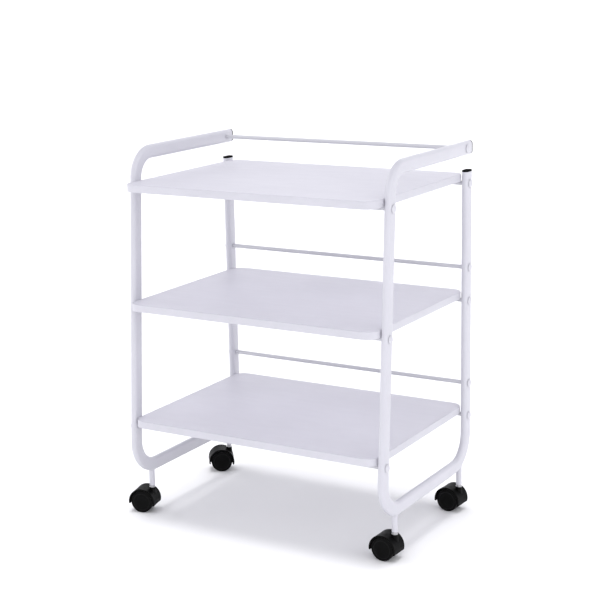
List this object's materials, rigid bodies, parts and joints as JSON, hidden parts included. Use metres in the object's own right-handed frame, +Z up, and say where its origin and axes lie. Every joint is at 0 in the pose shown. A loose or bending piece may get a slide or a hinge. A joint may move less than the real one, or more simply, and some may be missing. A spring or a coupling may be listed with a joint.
{
  "type": "instrument cart",
  "caption": "Three-shelf instrument cart with bent flat-oval tube side frames, side handles, rear guard rods and hooded twin-wheel swivel casters.",
  "frame": {"origin": "on the floor under the centre of the whole cart's box", "axes": "+Z up; the front faces -Y, the handles run along Y and the shelves' long side along X"},
  "size_m": [0.678, 0.4392, 0.8265],
  "materials": {
    "frame_tube": "white powder coat, satin",
    "shelf_board": "white laminated board, satin",
    "edge_band": "white plastic edge band",
    "cross_rod": "white powder coat, satin",
    "bolt": "white coated domed bolt",
    "end_plug": "black moulded plastic",
    "caster_hood": "black moulded plastic, fine grain",
    "caster_wheel": "black nylon",
    "caster_steel": "bright zinc plate"
  },
  "bodies": {
    "frame": {"side_frame_left": "frame_tube", "side_frame_right": "frame_tube", "post_plug_left": "end_plug", "post_plug_right": "end_plug", "handle_plug_left": "end_plug", "handle_plug_right": "end_plug", "shelf_bottom": "shelf_board", "edge_band_bottom": "edge_band", "shelf_middle": "shelf_board", "edge_band_middle": "edge_band", "shelf_top": "shelf_board", "edge_band_top": "edge_band", "shelf_rod_front_bottom": "cross_rod", "shelf_rod_rear_bottom": "cross_rod", "guard_rod_bottom": "cross_rod", "shelf_rod_front_middle": "cross_rod", "shelf_rod_rear_middle": "cross_rod", "guard_rod_middle": "cross_rod", "shelf_rod_front_top": "cross_rod", "shelf_rod_rear_top": "cross_rod", "guard_rod_top": "cross_rod", "bolt_shelf_rod_front_bottom_left": "bolt", "bolt_shelf_rod_front_bottom_right": "bolt", "bolt_shelf_rod_rear_bottom_left": "bolt", "bolt_shelf_rod_rear_bottom_right": "bolt", "bolt_guard_rod_bottom_left": "bolt", "bolt_guard_rod_bottom_right": "bolt", "bolt_shelf_rod_front_middle_left": "bolt", "bolt_shelf_rod_front_middle_right": "bolt", "bolt_shelf_rod_rear_middle_left": "bolt", "bolt_shelf_rod_rear_middle_right": "bolt", "bolt_guard_rod_middle_left": "bolt", "bolt_guard_rod_middle_right": "bolt", "bolt_shelf_rod_front_top_left": "bolt", "bolt_shelf_rod_front_top_right": "bolt", "bolt_shelf_rod_rear_top_left": "bolt", "bolt_shelf_rod_rear_top_right": "bolt", "bolt_guard_rod_top_left": "bolt", "bolt_guard_rod_top_right": "bolt", "caster_front_left_stem": "caster_steel", "caster_front_right_stem": "caster_steel", "caster_rear_left_stem": "caster_steel", "caster_rear_right_stem": "caster_steel"},
    "caster_front_left": {"caster_front_left_hood": "caster_hood", "caster_front_left_axle": "caster_steel"},
    "caster_front_left_wheel_a": {"caster_front_left_wheel_a": "caster_wheel"},
    "caster_front_left_wheel_b": {"caster_front_left_wheel_b": "caster_wheel"},
    "caster_front_right": {"caster_front_right_hood": "caster_hood", "caster_front_right_axle": "caster_steel"},
    "caster_front_right_wheel_a": {"caster_front_right_wheel_a": "caster_wheel"},
    "caster_front_right_wheel_b": {"caster_front_right_wheel_b": "caster_wheel"},
    "caster_rear_left": {"caster_rear_left_hood": "caster_hood", "caster_rear_left_axle": "caster_steel"},
    "caster_rear_left_wheel_a": {"caster_rear_left_wheel_a": "caster_wheel"},
    "caster_rear_left_wheel_b": {"caster_rear_left_wheel_b": "caster_wheel"},
    "caster_rear_right": {"caster_rear_right_hood": "caster_hood", "caster_rear_right_axle": "caster_steel"},
    "caster_rear_right_wheel_a": {"caster_rear_right_wheel_a": "caster_wheel"},
    "caster_rear_right_wheel_b": {"caster_rear_right_wheel_b": "caster_wheel"}
  },
  "joints": [
    {"name": "caster_front_left_swivel", "type": "hinge", "parent": "frame", "child": "caster_front_left", "pos_m": [-0.28514, -0.1471, 0.056], "axis": [0, 0, 1], "continuous": true},
    {"name": "caster_front_left_roll_a", "type": "hinge", "parent": "caster_front_left", "child": "caster_front_left_wheel_a", "pos_m": [-0.30406, -0.15182, 0.025], "axis": [0.2419, -0.9703, 0], "continuous": true},
    {"name": "caster_front_left_roll_b", "type": "hinge", "parent": "caster_front_left", "child": "caster_front_left_wheel_b", "pos_m": [-0.30406, -0.15182, 0.025], "axis": [0.2419, -0.9703, 0], "continuous": true},
    {"name": "caster_front_right_swivel", "type": "hinge", "parent": "frame", "child": "caster_front_right", "pos_m": [0.32647, -0.1471, 0.056], "axis": [0, 0, 1], "continuous": true},
    {"name": "caster_front_right_roll_a", "type": "hinge", "parent": "caster_front_right", "child": "caster_front_right_wheel_a", "pos_m": [0.30698, -0.14642, 0.025], "axis": [-0.0349, -0.9994, 0], "continuous": true},
    {"name": "caster_front_right_roll_b", "type": "hinge", "parent": "caster_front_right", "child": "caster_front_right_wheel_b", "pos_m": [0.30698, -0.14642, 0.025], "axis": [-0.0349, -0.9994, 0], "continuous": true},
    {"name": "caster_rear_left_swivel", "type": "hinge", "parent": "frame", "child": "caster_rear_left", "pos_m": [-0.28514, 0.1709, 0.056], "axis": [0, 0, 1], "continuous": true},
    {"name": "caster_rear_left_roll_a", "type": "hinge", "parent": "caster_rear_left", "child": "caster_rear_left_wheel_a", "pos_m": [-0.30091, 0.15944, 0.025], "axis": [0.5878, -0.809, 0], "continuous": true},
    {"name": "caster_rear_left_roll_b", "type": "hinge", "parent": "caster_rear_left", "child": "caster_rear_left_wheel_b", "pos_m": [-0.30091, 0.15944, 0.025], "axis": [0.5878, -0.809, 0], "continuous": true},
    {"name": "caster_rear_right_swivel", "type": "hinge", "parent": "frame", "child": "caster_rear_right", "pos_m": [0.32647, 0.1709, 0.056], "axis": [0, 0, 1], "continuous": true},
    {"name": "caster_rear_right_roll_a", "type": "hinge", "parent": "caster_rear_right", "child": "caster_rear_right_wheel_a", "pos_m": [0.30701, 0.17226, 0.025], "axis": [-0.0698, -0.9976, 0], "continuous": true},
    {"name": "caster_rear_right_roll_b", "type": "hinge", "parent": "caster_rear_right", "child": "caster_rear_right_wheel_b", "pos_m": [0.30701, 0.17226, 0.025], "axis": [-0.0698, -0.9976, 0], "continuous": true}
  ]
}
